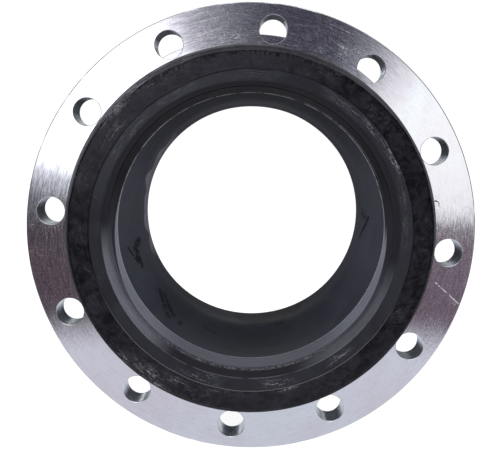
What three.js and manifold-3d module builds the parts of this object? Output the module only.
// Single-arch rubber expansion joint, DN 250 / NPS 10, with two floating steel flanges.
// Millimetres, +Z up. The pipe axis is Y, the near flange is at -Y, and the origin is the
// middle of the joint on its axis.
//
// From the bore outwards:
//   inner_tube        rubber liner, which is also the inner ring of each sealing face
//   ply_1 .. ply_4    rubberised cord; 1 and 2 pass in front of the bead, 3 and 4 behind it
//   near/far bead     seven hoops of steel wire in a bundle at each end
//   outer_cover       weather cover, wrapped over the bead and cut off on the sealing face
//   near/far flange   loose steel rings, each with 12 holes and a groove for the bead
// At either end, "front" is towards the sealing face and "behind" is towards the middle.
import * as THREE from 'three';
import { mergeVertices } from 'three/addons/utils/BufferGeometryUtils.js';
import Module from 'manifold-3d';

// ---- driving dimensions ---------------------------------------------------------------
const FLANGE_R = 406.4 / 2;
const FLANGE_THICK = 26;
const FLANGE_FACE_Y = 103; // outer steel face to the middle plane
const FLANGE_BORE_R = 146.5;
const RIM_CHAMFER = 1.5;
const BORE_CHAMFER = 1.2; // on the back edge of the bore
const GROOVE_R = 158.6; // recess that holds the bead
const GROOVE_DEPTH = 12;
const GROOVE_CORNER_R = 3.1; // radial size of the cut-off corner at the groove floor
const GROOVE_CORNER_Y = 2.8; // its axial size

const HOLES = 12;
const HOLE_CIRCLE_R = 361.95 / 2;
const HOLE_R = 25.4 / 2;
const HOLE_CHAMFER = 1;
const HOLE_PHASE = THREE.MathUtils.degToRad(83.9); // first hole, from +X towards +Z
const DRILL_OVERRUN = 1; // the drill stands proud of both flange faces

const FACE_Y = 230 / 2; // overall length is over the two sealing faces
const COLLAR_R = 166; // rubber collar that lies on the steel
const CUT_EDGE_R = 143.8; // cut edge of the cover on the sealing face
const NECK_R = 145.5; // outside of the rubber where it passes the flange
const CROWN_R = 168; // outside of the arch
const ARCH_HALF = 74; // the arch runs this far each side of the middle
const ARCH_POWER = 1.4; // shapes the outside of the arch

const LIP_Y = 67; // ring each side of the middle where the bore opens into the arch
const LIP_R = 127;
const BORE_CROWN_R = 154;
const NEAR_MOUTH_R = 131.5;
const FAR_MOUTH_R = 125.3;

const GAP = 0.3; // between neighbouring layers, and between collar and steel
const GROOVE_GAP = 0.6; // between the wrapped cover and the groove
const PLY = 1.3; // thickness of a cord layer
const PLY_STEP = PLY + GAP;
const PLIES = 4;
const COVER = 3.8; // thickness of the cover

const WIRE_R = 1.6;
const WIRE_PITCH = 3.45; // core wire to outer wire
const OUTER_WIRES = 6;
const BEAD_R = 145.45; // hoop radius of the core wire
const BEAD_Y = 102.4;

const RING_SEGMENTS = 60;
const HOLE_SEGMENTS = 14;
const RUBBER_SEGMENTS = 24;
const WIRE_SIDES = 6;

// ---- materials ------------------------------------------------------------------------
const standard = (settings) => new THREE.MeshStandardMaterial(settings);
const zinc = () => standard({ color: 0xa9aab4, roughness: 0.34, metalness: 0.95 });
const wire = () => standard({ color: 0x8d8a80, roughness: 0.4, metalness: 1 });
const rubber = () => standard({ color: 0x26262b, roughness: 0.62, metalness: 0 });
const liner = () => standard({ color: 0x303138, roughness: 0.5, metalness: 0 });
const cord = () => standard({ color: 0x4a463f, roughness: 0.85, metalness: 0 });

// ---- helpers --------------------------------------------------------------------------
// Signed volume: negative when the faces point inwards.
function signedVolume(geometry) {
  const position = geometry.getAttribute('position');
  const index = geometry.getIndex();
  const corners = [new THREE.Vector3(), new THREE.Vector3(), new THREE.Vector3()];
  let sixfold = 0;
  for (let i = 0; i < index.count; i += 3) {
    corners.forEach((corner, k) => corner.fromBufferAttribute(position, index.getX(i + k)));
    const [first, second, third] = corners;
    sixfold += first.dot(second.cross(third));
  }
  return sixfold / 6;
}

// A watertight solid turned about Y from [radius, y] points. A profile that starts off the
// axis is closed into a ring; one that starts on the axis must end on it.
function turned(profile, segments) {
  const points = profile.map(([radius, y]) => new THREE.Vector2(radius, y));
  if (points[0].x > 0) points.push(points[0].clone());
  const lathe = new THREE.LatheGeometry(points, segments);

  // Normals and uvs would keep the vertices along the seam apart.
  lathe.deleteAttribute('normal');
  lathe.deleteAttribute('uv');
  const geometry = mergeVertices(lathe, 1e-4);

  // Triangles that touch the axis may have collapsed.
  const index = geometry.getIndex().array;
  const triangles = [];
  for (let i = 0; i < index.length; i += 3) {
    const triangle = [...index.slice(i, i + 3)];
    if (new Set(triangle).size === 3) triangles.push(triangle);
  }
  geometry.setIndex(triangles.flat());
  if (signedVolume(geometry) < 0) {
    geometry.setIndex(triangles.flatMap(([first, second, third]) => [first, third, second]));
  }
  return geometry;
}

const wasm = await Module();
wasm.setup();

function toSolid(geometry) {
  return new wasm.Manifold(
    new wasm.Mesh({
      numProp: 3,
      vertProperties: new Float32Array(geometry.getAttribute('position').array),
      triVerts: new Uint32Array(geometry.getIndex().array),
    }),
  );
}

function toGeometry(solid) {
  const { vertProperties, triVerts } = solid.getMesh();
  const geometry = new THREE.BufferGeometry();
  geometry.setAttribute('position', new THREE.BufferAttribute(new Float32Array(vertProperties), 3));
  geometry.setIndex(new THREE.BufferAttribute(new Uint32Array(triVerts), 1));
  return geometry;
}

function part(name, geometry, material) {
  const mesh = new THREE.Mesh(geometry, material);
  mesh.name = name;
  return mesh;
}

// ---- floating flange ------------------------------------------------------------------
// Local frame: the outer (sealing side) face is at y = 0 and the back at y = FLANGE_THICK.
function flangeBlank() {
  const profile = [
    [GROOVE_R, 0],
    [FLANGE_R - RIM_CHAMFER, 0],
    [FLANGE_R, RIM_CHAMFER],
    [FLANGE_R, FLANGE_THICK - RIM_CHAMFER],
    [FLANGE_R - RIM_CHAMFER, FLANGE_THICK],
    [FLANGE_BORE_R + BORE_CHAMFER, FLANGE_THICK],
    [FLANGE_BORE_R, FLANGE_THICK - BORE_CHAMFER],
    [FLANGE_BORE_R, GROOVE_DEPTH],
    [GROOVE_R - GROOVE_CORNER_R, GROOVE_DEPTH],
    [GROOVE_R, GROOVE_DEPTH - GROOVE_CORNER_Y],
  ];
  return turned(profile, RING_SEGMENTS);
}

// The shape of one hole, with its chamfer cones carried on past both faces.
function holeDrill() {
  const mouthR = HOLE_R + HOLE_CHAMFER;
  const profile = [
    [0, -DRILL_OVERRUN],
    [mouthR + DRILL_OVERRUN, -DRILL_OVERRUN],
    [mouthR, 0],
    [HOLE_R, HOLE_CHAMFER],
    [HOLE_R, FLANGE_THICK - HOLE_CHAMFER],
    [mouthR, FLANGE_THICK],
    [mouthR + DRILL_OVERRUN, FLANGE_THICK + DRILL_OVERRUN],
    [0, FLANGE_THICK + DRILL_OVERRUN],
  ];
  return turned(profile, HOLE_SEGMENTS);
}

function flangeGeometry() {
  let solid = toSolid(flangeBlank());
  for (let i = 0; i < HOLES; i++) {
    const angle = (i * 2 * Math.PI) / HOLES;
    const drill = holeDrill();
    drill.rotateY(-angle);
    drill.translate(HOLE_CIRCLE_R * Math.cos(angle), 0, HOLE_CIRCLE_R * Math.sin(angle));
    solid = solid.subtract(toSolid(drill));
  }
  return toGeometry(solid);
}

// ---- bead wire hoops ------------------------------------------------------------------
// One hoop, placed by its offset from the middle of the bundle.
function hoop(radialOffset, y) {
  const profile = [];
  for (let i = 0; i < WIRE_SIDES; i++) {
    const angle = (i * 2 * Math.PI) / WIRE_SIDES;
    profile.push([
      BEAD_R + radialOffset + WIRE_R * Math.cos(angle),
      y + WIRE_R * Math.sin(angle),
    ]);
  }
  return turned(profile, RUBBER_SEGMENTS);
}

function bead(side) {
  const group = new THREE.Group();
  group.add(part(`${side}_bead_core_wire`, hoop(0, 0), wire()));
  for (let i = 0; i < OUTER_WIRES; i++) {
    const angle = ((i + 0.5) * 2 * Math.PI) / OUTER_WIRES;
    const geometry = hoop(WIRE_PITCH * Math.cos(angle), WIRE_PITCH * Math.sin(angle));
    group.add(part(`${side}_bead_wire_${i + 1}`, geometry, wire()));
  }
  return group;
}

// ---- rubber and cord layers -----------------------------------------------------------
// y of the points along the arch
const STATIONS = [-57, -40, -20, 0, 20, 40, 57];

// Radius of the outside of the arch, and of the bore inside it.
const outsideR = (y) => NECK_R + (CROWN_R - NECK_R) * (1 - (y / ARCH_HALF) ** 2) ** ARCH_POWER;
const boreR = (y) => LIP_R + (BORE_CROWN_R - LIP_R) * (1 - (y / LIP_Y) ** 2);

// A line from the near end, over the arch, to the far end, as [radius, y] points. It lies
// `depth` under the outside of the arch. endPoints are [radius, distance from the middle],
// listed towards the arch, and serve both ends.
function surfaceLine(endPoints, depth) {
  return [
    ...endPoints.map(([radius, distance]) => [radius, -distance]),
    ...STATIONS.map((y) => [outsideR(y) - depth, y]),
    ...[...endPoints].reverse(),
  ];
}

// A layer of the wall, between an outer and an inner line.
function layer(outerEnd, innerEnd, depth, thickness) {
  const outerLine = surfaceLine(outerEnd, depth);
  const innerLine = surfaceLine(innerEnd, depth + thickness);
  return turned([...outerLine, ...innerLine.reverse()], RUBBER_SEGMENTS);
}

const COVER_BACK_Y = FACE_Y - COVER; // underside of the cover on the sealing face
const COLLAR_BACK_Y = FLANGE_FACE_Y + GAP;
const WRAP_R = GROOVE_R - GROOVE_GAP; // outside of the cover in the groove
const WRAP_BACK_Y = FLANGE_FACE_Y - GROOVE_DEPTH + GROOVE_GAP;
const WRAP_INNER_R = 154.4; // inside of the cover round the bead
const WRAP_INNER_Y = 93.7;

function coverGeometry() {
  // Cut edge, sealing face, collar, wrap round the bead, neck.
  const outerEnd = [
    [CUT_EDGE_R, FACE_Y - 0.4],
    [CUT_EDGE_R + 1.6, FACE_Y],
    [160, FACE_Y],
    [164.4, FACE_Y - 1.8],
    [COLLAR_R, FACE_Y - 4.2],
    [COLLAR_R, COLLAR_BACK_Y],
    [WRAP_R, COLLAR_BACK_Y],
    [WRAP_R, 94.4],
    [155, WRAP_BACK_Y],
    [146.4, WRAP_BACK_Y],
    [NECK_R, 90.7],
    [NECK_R, ARCH_HALF],
  ];
  const neckInnerR = NECK_R - COVER;
  const innerEnd = [
    [CUT_EDGE_R, COVER_BACK_Y],
    [WRAP_INNER_R, COVER_BACK_Y],
    [WRAP_INNER_R, WRAP_INNER_Y + 3],
    [151, WRAP_INNER_Y],
    [neckInnerR + 1.4, WRAP_INNER_Y],
    [neckInnerR, 92.2],
    [neckInnerR, ARCH_HALF],
  ];
  return layer(outerEnd, innerEnd, 0, COVER);
}

// Depth of a ply under the outside of the rubber; ply 4 lies next to the cover.
const plyDepth = (number) => COVER + GAP + (PLIES - number) * PLY_STEP;

// A ply that turns out behind the bead, then forward round it to its cut edge.
function backPly({ number, edgeR, edgeY, backY }) {
  const depth = plyDepth(number);
  const outerR = NECK_R - depth;
  const innerR = outerR - PLY;
  const innerY = backY + PLY;
  const outerEnd = [
    [edgeR, edgeY],
    [edgeR, backY + 2.9],
    [edgeR - 3.3, backY],
    [outerR + 1.6, backY],
    [outerR, backY - 1.6],
    [outerR, ARCH_HALF],
  ];
  const innerEnd = [
    [edgeR - PLY, edgeY],
    [edgeR - PLY, innerY + 2.2],
    [edgeR - 3.8, innerY],
    [innerR + 2.4, innerY],
    [innerR, innerY - 2.4],
    [innerR, ARCH_HALF],
  ];
  return layer(outerEnd, innerEnd, depth, PLY);
}

// A ply that turns out in front of the bead to its cut edge.
function frontPly({ number, edgeR, frontY }) {
  const depth = plyDepth(number);
  const outerR = NECK_R - depth;
  const innerR = outerR - PLY;
  const innerY = frontY + PLY;
  const outerEnd = [
    [edgeR, frontY],
    [outerR + 4.2, frontY],
    [outerR, frontY - 4.6],
    [outerR, ARCH_HALF],
  ];
  const innerEnd = [
    [edgeR, innerY],
    [innerR + 4.9, innerY],
    [innerR, innerY - 5.4],
    [innerR, ARCH_HALF],
  ];
  return layer(outerEnd, innerEnd, depth, PLY);
}

// The tube's bore narrows from the near mouth to the lip, opens into the arch, and closes
// again to the far neck, which is a little tighter than the near one.
function tubeGeometry() {
  const depth = plyDepth(1) + PLY_STEP;
  const outerR = NECK_R - depth;
  const rimR = CUT_EDGE_R - GAP;
  const rimY = FACE_Y - 1.6;
  const outerEnd = [
    [rimR, COVER_BACK_Y],
    [outerR + 5.2, COVER_BACK_Y],
    [outerR, FACE_Y - 9.4],
    [outerR, ARCH_HALF],
  ];
  const farBore = [
    [rimR, rimY],
    [FAR_MOUTH_R + 2.4, rimY],
    [FAR_MOUTH_R, FACE_Y - 4],
    [FAR_MOUTH_R + 1.2, LIP_Y + 4],
    [LIP_R, LIP_Y],
  ];
  const archBore = STATIONS.map((y) => [boreR(y), y]).reverse();
  const nearBore = [
    [LIP_R, -LIP_Y],
    [NEAR_MOUTH_R, -FLANGE_FACE_Y],
    [NEAR_MOUTH_R + 1.2, -(FACE_Y - 3.6)],
    [NEAR_MOUTH_R + 3.4, -rimY],
    [rimR, -rimY],
  ];
  const outerLine = surfaceLine(outerEnd, depth);
  return turned([...outerLine, ...farBore, ...archBore, ...nearBore], RUBBER_SEGMENTS);
}

function bellows() {
  const edge4 = WRAP_INNER_R - GAP;
  const back4 = WRAP_INNER_Y + GAP;
  const front2 = 108.1;
  const plies = [
    frontPly({ number: 1, edgeR: 153.9, frontY: front2 + PLY_STEP }),
    frontPly({ number: 2, edgeR: 152.4, frontY: front2 }),
    backPly({ number: 3, edgeR: edge4 - PLY_STEP, edgeY: 105.4, backY: back4 + PLY_STEP }),
    backPly({ number: 4, edgeR: edge4, edgeY: 106.8, backY: back4 }),
  ];
  const group = new THREE.Group();
  group.add(part('inner_tube', tubeGeometry(), liner()));
  plies.forEach((ply, i) => group.add(part(`ply_${i + 1}`, ply, cord())));
  group.add(part('outer_cover', coverGeometry(), rubber()));
  return group;
}

// ---- assembly -------------------------------------------------------------------------
// The flange and bead of one end, laid out as at the near end.
function jointEnd(side, flange, flangeTurn) {
  const flangeMesh = part(`${side}_flange`, flange, zinc());
  flangeMesh.rotation.y = flangeTurn;
  flangeMesh.position.y = -FLANGE_FACE_Y;
  const beadGroup = bead(side);
  beadGroup.position.y = -BEAD_Y;
  const group = new THREE.Group();
  group.add(flangeMesh, beadGroup);
  return group;
}

const flange = flangeGeometry();
const nearEnd = jointEnd('near', flange, -HOLE_PHASE);
// Turned over about X; the opposite flange turn brings its holes in line with the near ones.
const farEnd = jointEnd('far', flange.clone(), HOLE_PHASE);
farEnd.rotation.x = Math.PI;

const joint = new THREE.Group();
joint.name = 'rubber_expansion_joint';
joint.add(nearEnd, farEnd, bellows());

export default joint;
